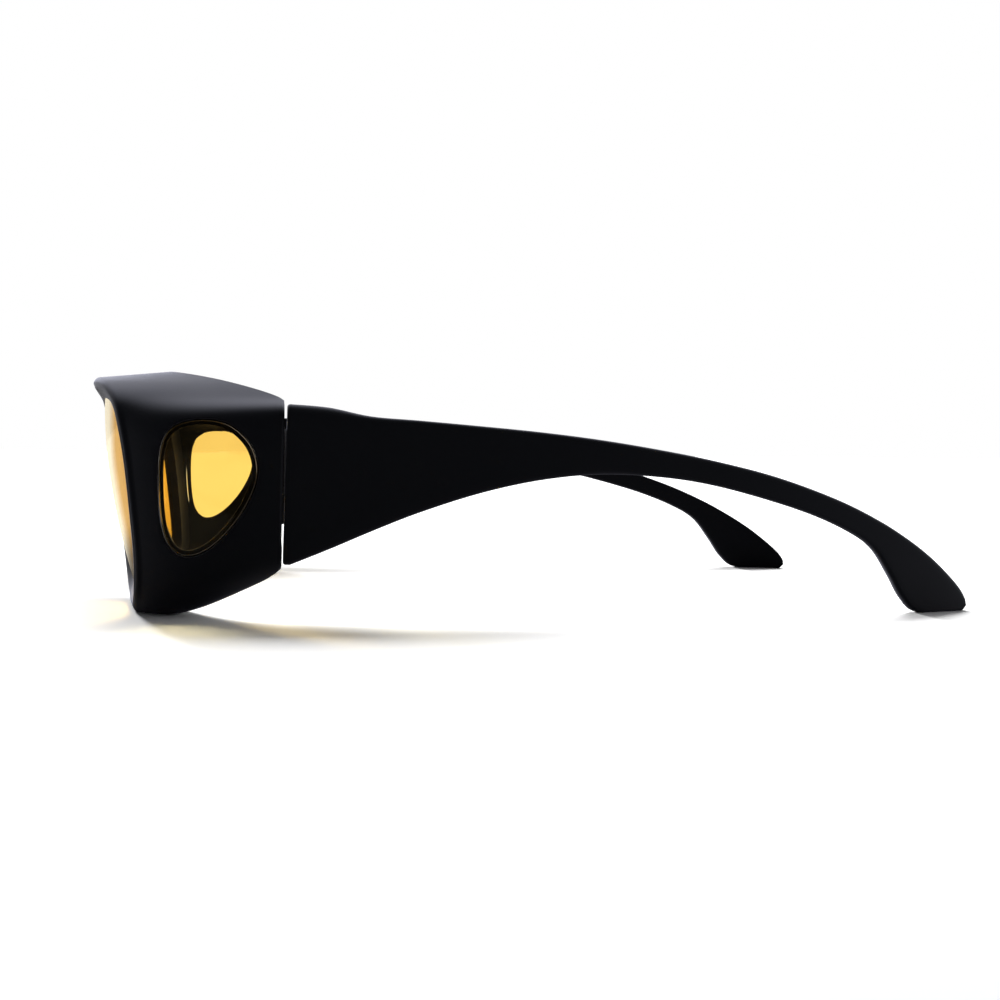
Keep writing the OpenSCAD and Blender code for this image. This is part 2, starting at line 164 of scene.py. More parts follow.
def wall_place(i, t, depth):
    """A place on the wall at i round the eye, a share t of the way back, and so deep in the wall"""
    row, before, after = eye[i], eye[i - 1], eye[(i + 1) % len(eye)]
    front_way = inward(before[2:4], after[2:4])
    rear_way = inward([before[5], before[7]], [after[5], after[7]])
    n = Vector(blend(front_way, rear_way, t)).normalized()
    spread = 1 - (1 - t) ** max(row[8], 1)
    rise = t ** max(row[9], 1)
    start = face_y(row[2], row[3]) - row[4] + edge_round
    y = start + (joint_y + row[6] - start) * t
    x = row[2] + (row[5] - row[2]) * spread
    z = max(drop[i] + (row[7] - drop[i]) * rise, 0)
    return (x + n[0] * depth, y, z + n[1] * depth)


# round the lens: how far out from its opening, and how far behind the face
lens_lip = [(0, 0.26), (0.1, 0.08), (0.3, 0.01)]
# across the face: share of the way out to the edge, and share of the edge's lead
face_leads = [(0.25, 0.2), (0.5, 0.6), (0.75, 0.92), (0.9, 0.99)]
# back along the wall, and across its rear edge
wall_shares = [0.02, 0.05, 0.09, 0.14, 0.2, 0.27, 0.35, 0.44, 0.53, 0.62, 0.71, 0.8, 0.88, 0.95, 0.985]
wall_end = (0.14, 0.5, 0.86)
# inside, the wall starts this share of the way back, and a step leads from there to the rim
inner_share, rim_share, rim_step, step_slope = 0.2, 0.25, 0.5, 0.8
# within this distance of the middle plane the edge's roll loses its sideways lean
seam_fade = 4


def section(i):
    """The moulding cut through at one place: lip, face, rolled edge, wall, inner side and rim"""
    row = eye[i]
    n = inward(eye[i - 1][2:4], eye[(i + 1) % len(eye)][2:4])
    n = [n[0] * min(1, row[2] / seam_fade), n[1]]
    if row[2] == 0:
        # on the middle plane the edge turns evenly from the arch over the nose to the brow
        n[1] = math.cos(math.pi * (row[3] - arch_top) / (brow_top - arch_top))
    edge = face_y(row[2], row[3]) - row[4]
    near = [row[2] + n[0] * edge_round, row[3] + n[1] * edge_round]
    points = []
    out = Vector((near[0] - row[0], near[1] - row[1])).normalized()
    for step, dip in lens_lip:
        p = (row[0] + out[0] * step, row[1] + out[1] * step)
        points.append((p[0], face_y(*p) + dip, p[1]))
    for share, lead in face_leads:
        p = blend(row[0:2], near, share)
        points.append((p[0], face_y(*p) - row[4] * lead, p[1]))
    for k in range(roll_steps + 1):
        a = math.radians(90 * k / roll_steps)
        x = near[0] - n[0] * edge_round * math.sin(a)
        z = near[1] - n[1] * edge_round * math.sin(a)
        points.append((x, edge + edge_round * (1 - math.cos(a)), z))
    points += [wall_place(i, t, 0) for t in wall_shares]
    points += [wall_place(i, 1, wall * d) for d in wall_end]
    for t in reversed([t for t in wall_shares if t > inner_share]):
        x, y, z = wall_place(i, t, wall)
        points.append((x, max(y, face_y(x, z) + rim + rim_step + step_slope * (t - inner_share)), z))
    p = wall_place(i, inner_share, wall)
    points.append((p[0], face_y(p[0], p[2]) + rim + rim_step, p[2]))
    q = blend((p[0], p[2]), row[0:2], rim_share)
    points.append((q[0], face_y(*q) + rim, q[1]))
    for dip in (rim, rim * 0.5):
        points.append((row[0], face_y(*row[0:2]) + dip, row[1]))
    return points


def shaped_grid(name, rings, looped=False):
    """A flat grid, one row for each closed ring, bent into its place in millimetres; the last ring
    joins the first if it is looped"""
    bpy.ops.object.select_all(action="DESELECT")
    rows = [ring + [ring[0]] for ring in rings]
    rows += [rows[0]] if looped else []
    wide, high = len(rows[0]), len(rows)
    bpy.ops.mesh.primitive_grid_add(x_subdivisions=wide - 1, y_subdivisions=high - 1, size=1)
    piece = bpy.context.object
    piece.name = piece.data.name = name
    for index, vertex in enumerate(piece.data.vertices):
        vertex.co = Vector(rows[index // wide][index % wide]) * MM
    bpy.ops.object.mode_set(mode="EDIT")
    bpy.ops.mesh.select_all(action="SELECT")
    bpy.ops.mesh.remove_doubles(threshold=1e-7)
    bpy.ops.mesh.normals_make_consistent(inside=False)
    bpy.ops.object.mode_set(mode="OBJECT")
    return piece


def only(piece):
    """Selects this piece alone"""
    bpy.ops.object.select_all(action="DESELECT")
    piece.select_set(True)
    bpy.context.view_layer.objects.active = piece


def use(piece, kind, **settings):
    """Adds a modifier and applies it"""
    only(piece)
    modifier = piece.modifiers.new(kind.lower(), kind)
    for key, value in settings.items():
        setattr(modifier, key, value)
    bpy.ops.object.modifier_apply(modifier=modifier.name)


def smooth(piece, degrees):
    """Shades smooth over every edge that turns less than this"""
    only(piece)
    bpy.ops.object.shade_smooth_by_angle(angle=math.radians(degrees))


half = shaped_grid("front_moulding", [section(i) for i in range(len(eye))], looped=True)
skin_tree = BVHTree.FromPolygons(
    [vertex.co.copy() for vertex in half.data.vertices],
    [polygon.vertices[:] for polygon in half.data.polygons],
)
# the probe starts well outside the wall, in metres
skin_probe = 0.2


def skin_x(y, z):
    """How far out the skin of the left wall lies, in millimetres"""
    hit = skin_tree.ray_cast(Vector((skin_probe, y * MM, z * MM)), Vector((-1, 0, 0)))[0]
    return hit[0] / MM


# a smooth sheet through the wall round the window: the polished panes follow it without facets
middle_y, middle_z = joint_y - 12.6, 22.2
unit_y, unit_z = 10, 12
reach_y, reach_z = 11.5, 13.5
sheet_spots = 8
sheet_terms = 6


def powers(y, z):
    """The sheet's terms: powers of a place's two distances from the window's middle"""
    u, v = (y - middle_y) / unit_y, (z - middle_z) / unit_z
    return [u**a * v**b for a in range(sheet_terms) for b in range(sheet_terms - a)]


spots = range(-sheet_spots, sheet_spots + 1)
around = [
    (middle_y + reach_y * a / sheet_spots, middle_z + reach_z * b / sheet_spots)
    for a in spots
    for b in spots
]
sheet = np.linalg.lstsq(
    np.array([powers(y, z) for y, z in around]),
    np.array([skin_x(y, z) for y, z in around]),
    rcond=None,
)[0]


def sheet_x(y, z):
    """How far out the sheet lies, in millimetres"""
    return float(np.dot(sheet, powers(y, z)))


# the window's outline: y from the joint, z
window_outline = [
    [-14.0, 33.7], [-18.5, 32.5], [-20.7, 29.0], [-21.1, 22.0], [-20.3, 14.6], [-18.1, 11.1], [-14.9, 10.6],
    [-11.2, 12.7], [-7.5, 16.9], [-4.9, 21.8], [-4.3, 26.0], [-5.8, 30.0], [-9.4, 33.0],
]
window_steps = 8
window = [[p[0] + joint_y, p[1]] for p in closed_curve(window_outline, window_steps)]


def window_edge(grow):
    """The window's outline, grown by some millimetres; it runs the other way round than the eye"""
    edge = []
    for i, p in enumerate(window):
        n = inward(window[(i + 1) % len(window)], window[i - 1])
        edge.append((p[0] - n[0] * grow, p[1] - n[1] * grow))
    return edge


def capped(piece):
    """Closes a tube's two open ends"""
    only(piece)
    bpy.ops.object.mode_set(mode="EDIT")
    bpy.ops.mesh.select_all(action="DESELECT")
    bpy.ops.mesh.select_mode(type="EDGE")
    bpy.ops.mesh.select_non_manifold()
    bpy.ops.mesh.fill_holes(sides=0)
    bpy.ops.mesh.select_all(action="SELECT")
    bpy.ops.mesh.normals_make_consistent(inside=False)
    bpy.ops.object.mode_set(mode="OBJECT")


# the window's seat: a recess with its edge rolled over, and a smaller hole that leaves a ledge; how
# far each of its rings is grown, and how deep it lies under the skin
seat = [
    (0.5, -4), (0.15, -0.02), (0.07, 0.03), (0.02, 0.1), (0, 0.2),
    (0, 1.55), (-1.0, 1.55), (-1.1, 1.65), (-1.1, 4),
]
seat_rings = [[(skin_x(y, z) - depth, y, z) for y, z in window_edge(grow)] for grow, depth in seat]
cut = shaped_grid("window_cut", seat_rings)
capped(cut)
use(half, "BOOLEAN", operation="DIFFERENCE", object=cut, solver="EXACT")
bpy.data.objects.remove(cut)

# both halves share the middle plane: its faces go, the half is mirrored and the seam is joined
bpy.ops.object.mode_set(mode="EDIT")
bpy.ops.mesh.select_all(action="DESELECT")
bpy.ops.mesh.select_mode(type="FACE")
bpy.ops.object.mode_set(mode="OBJECT")
for face in half.data.polygons:
    face.select = all(abs(half.data.vertices[v].co.x) < 1e-6 for v in face.vertices)
bpy.ops.object.mode_set(mode="EDIT")
bpy.ops.mesh.delete(type="FACE")
bpy.ops.object.mode_set(mode="OBJECT")
use(half, "MIRROR", use_axis=(True, False, False), merge_threshold=1e-6)
front = half
smooth(front, 38)


def new_material(name):
    """A material, its nodes and their links"""
    material = bpy.data.materials.new(name)
    material.use_nodes = True
    return material, material.node_tree.nodes, material.node_tree.links


def ramp(nodes, low, high, start=0.0, end=1.0):
    """A colour ramp from one colour to another"""
    node = nodes.new("ShaderNodeValToRGB")
    node.color_ramp.elements[0].position, node.color_ramp.elements[1].position = start, end
    node.color_ramp.elements[0].color, node.color_ramp.elements[1].color = (*low, 1), (*high, 1)
    return node


def mapped(nodes, start, end, low=0.0, high=1.0, kind="LINEAR"):
    """Turns values from start to end into values from low to high"""
    node = nodes.new("ShaderNodeMapRange")
    node.interpolation_type = kind
    node.inputs["From Min"].default_value = start
    node.inputs["From Max"].default_value = end
    node.inputs["To Min"].default_value = low
    node.inputs["To Max"].default_value = high
    return node


# matt skin of the moulding: a fine eroded grain, with broad patches that are a little duller
black_plastic, nodes, links = new_material("satin_black_plastic")
shader = nodes["Principled BSDF"]
place = nodes.new("ShaderNodeTexCoord")
patches = nodes.new("ShaderNodeTexNoise")
patches.inputs["Scale"].default_value = 55
patches.inputs["Detail"].default_value = 5
patches.inputs["Roughness"].default_value = 0.6
grain = nodes.new("ShaderNodeTexNoise")
grain.inputs["Scale"].default_value = 2400
grain.inputs["Detail"].default_value = 3
pits = nodes.new("ShaderNodeTexVoronoi")
pits.inputs["Scale"].default_value = 1500
relief = nodes.new("ShaderNodeMath")
relief.operation = "MULTIPLY_ADD"
relief.inputs[1].default_value = 0.4
tone = ramp(nodes, (0.0055, 0.0058, 0.0066), (0.0085, 0.0088, 0.01), 0.3, 0.7)
dull = mapped(nodes, 0.3, 0.7, 0.5, 0.6)
bump = nodes.new("ShaderNodeBump")
bump.inputs["Strength"].default_value = 0.25
bump.inputs["Distance"].default_value = 0.00003
for texture in (patches, grain, pits):
    links.new(place.outputs["Object"], texture.inputs["Vector"])
links.new(pits.outputs["Distance"], relief.inputs[0])
links.new(grain.outputs["Fac"], relief.inputs[2])
links.new(relief.outputs[0], bump.inputs["Height"])
links.new(patches.outputs["Fac"], tone.inputs["Fac"])
links.new(patches.outputs["Fac"], dull.inputs["Value"])
links.new(tone.outputs["Color"], shader.inputs["Base Color"])
links.new(dull.outputs["Result"], shader.inputs["Roughness"])
links.new(bump.outputs["Normal"], shader.inputs["Normal"])
shader.inputs["Specular IOR Level"].default_value = 0.15
shader.inputs["Sheen Weight"].default_value = 0.34
shader.inputs["Sheen Roughness"].default_value = 0.55
shader.inputs["Sheen Tint"].default_value = (0.8, 0.82, 1, 1)
shader.inputs["Specular Tint"].default_value = (0.85, 0.86, 1, 1)


def finish_in(piece, material):
    """Gives the piece this material alone"""
    piece.data.materials.clear()
    piece.data.materials.append(material)


finish_in(front, black_plastic)
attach(front, "front")
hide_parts("front_frame")

# Hinge bosses and nose pads: swellings moulded in one with the front, of the same plastic. The
# bosses hold the hinge leaves' feet, and the pads round off the edges that rest on the nose.
sides = ((1, "left"), (-1, "right"))
# plastic over and under a leaf, rounds of the block's edges, how far the block reaches past the
# screw, how deep under the skin it starts, and its near and far ends from the joint
boss_cover, boss_round, boss_inside, boss_skin = 0.6, 0.6, 0.1, 1
front_boss, temple_boss = (-3.35, -1.45), (1.45, 3.75)
leaf_low, leaf_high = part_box("hinge_front_leaf_left")
boss_middle = (leaf_low[2] + leaf_high[2]) / 2
boss_tall = leaf_high[2] - leaf_low[2] + 2 * boss_cover * MM


def hinge_boss(name, side, near, far):
    """A rounded block on the wall's inner side, from y near to y far, for the foot of a leaf"""
    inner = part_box("hinge_screw_left")[0][0] / MM - boss_inside
    outer = half_width - boss_skin
    bpy.ops.object.select_all(action="DESELECT")
    place = (side * (inner + outer) / 2 * MM, (near + far) / 2 * MM, boss_middle)
    bpy.ops.mesh.primitive_cube_add(size=1, location=place)
    block = bpy.context.object
    block.name = block.data.name = name
    block.scale = ((outer - inner) * MM, (far - near) * MM, boss_tall)
    bpy.ops.object.transform_apply(location=True, rotation=False, scale=True)
    use(block, "BEVEL", width=boss_round * MM, segments=4)
    smooth(block, 35)
    return block


for side, name in sides:
    near, far = [joint_y + y for y in front_boss]
    boss = hinge_boss("front_boss_" + name, side, near, far)
    finish_in(boss, black_plastic)
    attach(boss, "front")


def open_curve(points, steps):
    """A smooth curve from the first point to the last"""
    last = len(points) - 1
    curve = []
    for i in range(last):
        four = [points[max(i - 1, 0)], points[i], points[i + 1], points[min(i + 2, last)]]
        curve += [weave(*four, j / steps) for j in range(steps)]
    return curve + [points[-1]]


# places along the nose wall's rear edge: x, y from the joint, z
pad_places = [
    [8.6, -26, 23.2], [10.4, -25.4, 19.6], [12.6, -25, 15.8], [15.2, -24.6, 12.0], [18.0, -24.4, 9.0],
]
pad_steps = 6
pad_line = open_curve(pad_places, pad_steps)
pad_size, pad_flat, pad_sides = 1.3, 0.8, 24
# how far along a half wave the bead starts, and how much of it the bead takes up
pad_start, pad_span = 0.04, 0.92


def nose_pad(name, side):
    """A bead swept along the nose wall's rear edge, thinning out at both ends"""
    rings = []
    last = len(pad_line) - 1
    for i, p in enumerate(pad_line):
        way = (Vector(pad_line[min(i + 1, last)]) - Vector(pad_line[max(i - 1, 0)])).normalized()
        across = way.cross(Vector((0, 1, 0))).normalized()
        back = across.cross(way)
        size = pad_size * math.sin(math.pi * (pad_start + pad_span * i / last)) ** 0.5
        ring = []
        for k in range(pad_sides):
            a = 2 * math.pi * k / pad_sides
            q = Vector(p) + across * math.cos(a) * size * pad_flat + back * math.sin(a) * size
            ring.append((side * q[0], joint_y + q[1], q[2]))
        rings.append(ring)
    pad = shaped_grid(name, rings)
    capped(pad)
    smooth(pad, 60)
    return pad


for side, name in sides:
    pad = nose_pad("nose_pad_" + name, side)
    finish_in(pad, black_plastic)
    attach(pad, "front")

# Front lenses: domed panes of amber polycarbonate, 1.8 mm thick, snapped into a groove in the rim
# so that only their polished faces show.
lens_middle = (38, 21)
lens_setback, lens_bulge, lens_thickness = 0.3, 1.0, 1.8
# how far the pane reaches under the rim, and how much further half way through it
lens_seat, lens_belly = 0.7, 0.08


def handled(tree):
    """The group's output is where fingers and cloths have left a polished surface a little hazy"""
    source = tree.nodes.new("NodeGroupInput")
    smears = tree.nodes.new("ShaderNodeTexNoise")
    smears.inputs["Detail"].default_value = 4
    smears.inputs["Distortion"].default_value = 0.8
    soft = mapped(tree.nodes, 0.42, 0.72, kind="SMOOTHSTEP")
    result = tree.nodes.new("NodeGroupOutput")
    tree.links.new(source.outputs["Vector"], smears.inputs["Vector"])
    tree.links.new(source.outputs["Scale"], smears.inputs["Scale"])
    tree.links.new(smears.outputs["Fac"], soft.inputs["Value"])
    tree.links.new(soft.outputs["Result"], result.inputs["Haze"])


haze = bpy.data.node_groups.new("handling_haze", "ShaderNodeTree")
haze.interface.new_socket("Vector", in_out="INPUT", socket_type="NodeSocketVector")
haze.interface.new_socket("Scale", in_out="INPUT", socket_type="NodeSocketFloat")
haze.interface.new_socket("Haze", in_out="OUTPUT", socket_type="NodeSocketFloat")
handled(haze)


def joined(nodes, links, kind, first, second):
    """One difference, product, or larger of two values"""
    node = nodes.new("ShaderNodeMath")
    node.operation = kind
    links.new(first, node.inputs[0])
    links.new(second, node.inputs[1])
    return node.outputs[0]


def amber_pane(name, clear, deep, smear_scale, across, edge_haze, coat_outside):
    """Tinted polycarbonate: its shadow is coloured, its hard coat shines amber at a glancing look, and
    its sanded edge scatters the light that runs along inside the pane. The coat is on every face,
    or on the forward face only, as it is seen from outside."""
    material, nodes, links = new_material(name)
    shader = nodes["Principled BSDF"]
    place = nodes.new("ShaderNodeTexCoord")
    smears = nodes.new("ShaderNodeGroup")
    smears.node_tree = haze
    smears.inputs["Scale"].default_value = smear_scale
    tint = ramp(nodes, clear, deep)
    gloss = mapped(nodes, 0, 1, 0.02, 0.07)
    links.new(place.outputs["Object"], smears.inputs["Vector"])
    links.new(smears.outputs["Haze"], tint.inputs["Fac"])
    links.new(smears.outputs["Haze"], gloss.inputs["Value"])
    links.new(tint.outputs["Color"], shader.inputs["Base Color"])
    links.new(gloss.outputs["Result"], shader.inputs["Roughness"])
    shader.inputs["Transmission Weight"].default_value = 1
    shader.inputs["IOR"].default_value = 1.2
    per_face = nodes.new("ShaderNodeGamma")
    per_face.inputs["Gamma"].default_value = 0.25
    through = nodes.new("ShaderNodeBsdfTransparent")
    facing = nodes.new("ShaderNodeLayerWeight")
    glancing = mapped(nodes, 0.4, 0.78, 0, 0.75, "SMOOTHSTEP")
    sheen = ramp(nodes, (0.6, 0.32, 0.05), (1.0, 0.88, 0.62), 0.86, 0.92)
    coat = nodes.new("ShaderNodeBsdfAnisotropic")
    coat.inputs["Roughness"].default_value = 0.12
    coated = nodes.new("ShaderNodeMixShader")
    path = nodes.new("ShaderNodeLightPath")
    either = nodes.new("ShaderNodeMixShader")
    turned = nodes.new("ShaderNodeSeparateXYZ")
    steep = nodes.new("ShaderNodeMath")
    steep.operation = "ABSOLUTE"
    edge = mapped(nodes, 0.8, 0.7, 0, edge_haze)
    sanded = nodes.new("ShaderNodeBsdfAnisotropic")
    sanded.inputs["Color"].default_value = (1, 0.93, 0.78, 1)
    sanded.inputs["Roughness"].default_value = 0.15
    whole = nodes.new("ShaderNodeMixShader")
    links.new(tint.outputs["Color"], per_face.inputs["Color"])
    links.new(per_face.outputs["Color"], through.inputs["Color"])
    links.new(facing.outputs["Facing"], glancing.inputs["Value"])
    links.new(facing.outputs["Facing"], sheen.inputs["Fac"])
    links.new(sheen.outputs["Color"], coat.inputs["Color"])
    coat_share = glancing.outputs["Result"]
    if coat_outside:
        hit = nodes.new("ShaderNodeNewGeometry")
        forward = mapped(nodes, 0.1, -0.1)
        entering = joined(nodes, links, "SUBTRACT", coat_share, hit.outputs["Backfacing"])
        entering.node.use_clamp = True
        links.new(turned.outputs["Y"], forward.inputs["Value"])
        coat_share = joined(nodes, links, "MULTIPLY", entering, forward.outputs["Result"])
    links.new(coat_share, coated.inputs["Fac"])
    links.new(shader.outputs["BSDF"], coated.inputs[1])
    links.new(coat.outputs["BSDF"], coated.inputs[2])
    links.new(path.outputs["Is Shadow Ray"], either.inputs["Fac"])
    links.new(coated.outputs["Shader"], either.inputs[1])
    links.new(through.outputs["BSDF"], either.inputs[2])
    links.new(place.outputs["Normal"], turned.inputs["Vector"])
    links.new(turned.outputs[across], steep.inputs[0])
    links.new(steep.outputs[0], edge.inputs["Value"])
    links.new(edge.outputs["Result"], whole.inputs["Fac"])
    links.new(either.outputs["Shader"], whole.inputs[1])
    links.new(sanded.outputs["BSDF"], whole.inputs[2])
    links.new(whole.outputs["Shader"], nodes["Material Output"].inputs["Surface"])
    return material


front_amber = amber_pane(
    "amber_polycarbonate", clear=(1.0, 0.57, 0.09), deep=(0.97, 0.52, 0.08), smear_scale=45,
    across="Y", edge_haze=0.3, coat_outside=True,
)
lens_shares = [0.02, 0.12, 0.25, 0.38, 0.5, 0.61, 0.71, 0.8, 0.87, 0.93, 0.97, 1]


def lens_ring(share, lift, side, belly=0.0):
    """A ring of the pane: its share of the way from the middle to the edge, and its depth"""
    ring = []
    dome = lens_setback - lens_bulge * (1 - share * share) + lift
    reach = lens_seat + belly
    for row in eye:
        out = Vector((row[0] - lens_middle[0], row[1] - lens_middle[1])).normalized()
        edge = (row[0] + out[0] * reach, row[1] + out[1] * reach)
        p = blend(lens_middle, edge, share)
        ring.append((side * p[0], face_y(*p) + dome, p[1]))
    return ring


for side, name in sides:
    rings = [lens_ring(s, 0, side) for s in lens_shares]
    rings += [lens_ring(1, lens_thickness / 2, side, lens_belly)]
    rings += [lens_ring(s, lens_thickness, side) for s in reversed(lens_shares)]
    lens = shaped_grid("amber_lens_" + name, rings)
    capped(lens)
    smooth(lens, 45)
    finish_in(lens, front_amber)
    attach(lens, "front")
    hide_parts("front_lens_" + name)

# Side windows: small amber panes that follow the side wall, set from outside into a recess and
# held on a ledge, with a sanded bead round the edge that shows as a fine bright line.
side_amber = amber_pane(
    "light_amber_polycarbonate", clear=(1.0, 0.8, 0.36), deep=(0.97, 0.76, 0.33), smear_scale=90,
    across="X", edge_haze=0.9, coat_outside=False,
)
window_centre = (sum(p[0] for p in window) / len(window), sum(p[1] for p in window) / len(window))
window_shares = [0.03, 0.16, 0.3, 0.44, 0.57, 0.69, 0.79, 0.88, 0.95, 1]
pane_setback, pane_back = 0.24, 1.5
outer_grow, inner_grow = -0.45, -0.2
# rings of the bead and of the pane's edge: depth under the wall's skin, growth of the outline
bead = [
    (0.22, -0.4), (0.13, -0.35), (0.06, -0.29), (0.03, -0.23), (0.05, -0.17), (0.1, -0.12), (0.18, -0.1),
]
pane_edge = [(0.3, -0.1), (1.42, -0.1), (pane_back, -0.16)]


def pane_ring(share, depth, grow, side):
    """A ring of the pane: its share of the way from the middle to the grown outline, and its depth"""
    ring = []
    for edge in window_edge(grow):
        y, z = blend(window_centre, edge, share)
        ring.append((side * (sheet_x(y, z) - depth), y, z))
    return ring


for side, name in sides:
    rings = [pane_ring(s, pane_setback, outer_grow, side) for s in window_shares]
    rings += [pane_ring(1, d, g, side) for d, g in bead + pane_edge]
    rings += [pane_ring(s, pane_back, inner_grow, side) for s in reversed(window_shares)]
    pane = shaped_grid("amber_window_" + name, rings)
    capped(pane)
    smooth(pane, 50)
    finish_in(pane, side_amber)
    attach(pane, "front")
    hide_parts("side_lens_" + name)

# Temples: one moulding each of the same black plastic, broad at the joint, narrow behind the
# middle and ending in a flat foot, with their upper outer edge rolled over like the brow's.
temple_thickness, temple_length = 3.0, 126.4
# each rung: upper edge y from the joint, z; lower edge y, z; share of the full thickness; round
# of the upper outer edge
temple_rungs = [
    [1.0, 36.3, 1.0, 9.3, 1.00, 2.0],
    [7.5, 35.8, 7.7, 12.0, 1.00, 1.9],
    [14.5, 34.4, 15.2, 15.2, 0.98, 1.2],
    [22.6, 33.8, 22.8, 18.2, 0.96, 0.9],
    [32.8, 33.0, 33.0, 21.5, 0.94, 0.9],
    [43.2, 32.1, 43.3, 23.8, 0.92, 0.9],
    [53.7, 30.9, 53.7, 24.9, 0.90, 0.9],
    [64.3, 29.3, 63.5, 24.6, 0.90, 0.9],
    [75.2, 27.3, 72.5, 23.5, 0.90, 0.9],
    [86.5, 24.6, 81.8, 21.4, 0.92, 0.9],
    [98.2, 20.7, 92.7, 18.2, 0.94, 0.9],
    [107.0, 16.8, 100.7, 14.9, 0.96, 0.9],
    [113.6, 13.1, 105.4, 11.9, 0.98, 0.9],
    [118.5, 9.8, 108.9, 7.2, 1.00, 0.9],
    [122.4, 6.6, 111.6, 3.0, 1.00, 0.9],
    [125.0, 4.1, 114.8, 0.2, 1.00, 0.9],
    [126.27, 2.2, 120.0, 0.0, 1.00, 0.8],
    [126.37, 1.1, 125.4, 0.0, 1.00, 0.4],
]
rung_steps = 7
rungs = open_curve(temple_rungs, rung_steps)
bow, bow_power = 15.0, 4
joint_gap = 0.45
# rounds of the lower outer edge and the inner ones, and how much of the thickness the upper round
# leaves; where the temple is less than small_height high, they are all smaller
lower_round, inner_round, inner_flat = 0.8, 0.7, 0.9
small_height = 2.4
side_steps = 9
# the end at the joint: inset of each ring, how far behind the gap it lies, and how far ahead of its
# upper end its lower end lies
joint_roll = [(0.5, 0), (0.27, 0.05), (0.1, 0.17), (0.02, 0.37)]
temple_lean = 0.65
tip_inset, tip_step = 0.25, 0.05


def temple_section(rung, inset):
    """The moulding cut across at one rung, drawn in all round by inset"""
    top, low = Vector(rung[0:2]), Vector(rung[2:4])
    way = (low - top).normalized()
    high = (low - top).length
    thick = rung[4] * temple_thickness
    small = min(1, high / small_height)
    upper = min(rung[5], thick - inner_flat) * small
    lower, inner = lower_round * small, inner_round * small
    marks = []

    def corner(along, deep, size, start):
        for k in range(roll_steps + 1):
            a = math.radians(start + 90 * k / roll_steps)
            marks.append((along + size * math.cos(a), deep + size * math.sin(a)))

    def side_line(start, length, deep):
        marks.extend((start + length * k / side_steps, deep) for k in range(1, side_steps))

    corner(inset + upper, inset + upper, upper, 180)
    side_line(inset + upper, high - 2 * inset - upper - lower, inset)
    corner(high - inset - lower, inset + lower, lower, 270)
    corner(high - inset - inner, thick - inset - inner, inner, 0)
    side_line(high - inset - inner, -(high - 2 * inset - 2 * inner), thick - inset)
    corner(inset + inner, thick - inset - inner, inner, 90)
    ring = []
    for along, deep in marks:
        p = top + way * along
        x = half_width - bow * (max(p[0], 0) / temple_length) ** bow_power - deep
        ring.append([x, joint_y + p[0], max(p[1], 0)])
    return ring


for side, name in sides:
    rings = []
    for inset, behind in joint_roll:
        start = joint_y + joint_gap + behind
        ring = temple_section(rungs[0], inset)
        rings.append([[p[0], start - temple_lean * joint_low(p[2]), p[2]] for p in ring])
    rings += [temple_section(r, 0) for r in rungs]
    rings.append([[p[0], p[1] + tip_step, p[2]] for p in temple_section(rungs[-1], tip_inset)])
    rings = [[[side * p[0], p[1], p[2]] for p in ring] for ring in rings]
    temple = shaped_grid("temple_moulding_" + name, rings)
    capped(temple)
    smooth(temple, 40)
    finish_in(temple, black_plastic)
    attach(temple, "temple_" + name)
    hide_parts("temple_" + name)
    near, far = [joint_y + joint_gap + y for y in temple_boss]
    boss = hinge_boss("temple_boss_" + name, side, near, far)
    finish_in(boss, black_plastic)
    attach(boss, "temple_" + name)

# Hinges: stamped steel leaves with rolled barrels, their feet moulded into the plastic, and a
# slotted screw down each barrel. They are the part's own solids with a brushed finish.
hinge_steel, nodes, links = new_material("brushed_hinge_steel")
shader = nodes["Principled BSDF"]
place = nodes.new("ShaderNodeTexCoord")
drawn_out = nodes.new("ShaderNodeMapping")
drawn_out.inputs["Scale"].default_value = (1, 1, 14)
streaks = nodes.new("ShaderNodeTexNoise")
streaks.inputs["Scale"].default_value = 700
streaks.inputs["Detail"].default_value = 4
worn = ramp(nodes, (0.42, 0.41, 0.4), (0.6, 0.59, 0.575), 0.3, 0.7)
dull = mapped(nodes, 0, 1, 0.24, 0.42)
bump = nodes.new("ShaderNodeBump")
bump.inputs["Strength"].default_value = 0.2
bump.inputs["Distance"].default_value = 0.00002
links.new(place.outputs["Object"], drawn_out.inputs["Vector"])
links.new(drawn_out.outputs["Vector"], streaks.inputs["Vector"])
links.new(streaks.outputs["Fac"], worn.inputs["Fac"])
links.new(streaks.outputs["Fac"], dull.inputs["Value"])
links.new(streaks.outputs["Fac"], bump.inputs["Height"])
links.new(worn.outputs["Color"], shader.inputs["Base Color"])
links.new(dull.outputs["Result"], shader.inputs["Roughness"])
links.new(bump.outputs["Normal"], shader.inputs["Normal"])
shader.inputs["Metallic"].default_value = 1
for kind in ("hinge_front_leaf_", "hinge_temple_leaf_", "hinge_screw_"):
    for name in ("left", "right"):
        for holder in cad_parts[kind + name].material_slots:
            holder.material = hinge_steel

# Floor: a plain white sheet that keeps the soft shadow, with a painted shade that turns it darker and
# a pale lavender near the camera. It lies a hair under the feet, and its far edge is lost in the
# white behind it.
floor_size, floor_middle, floor_drop = 12, -2, 0.00003
bpy.ops.object.select_all(action="DESELECT")
bpy.ops.mesh.primitive_plane_add(size=floor_size, location=(floor_middle, 0, -floor_drop))
floor = bpy.context.object
floor.name = floor.data.name = "floor"
paper, nodes, links = new_material("white_floor")
nodes.remove(nodes["Principled BSDF"])
place = nodes.new("ShaderNodeTexCoord")
apart = nodes.new("ShaderNodeSeparateXYZ")
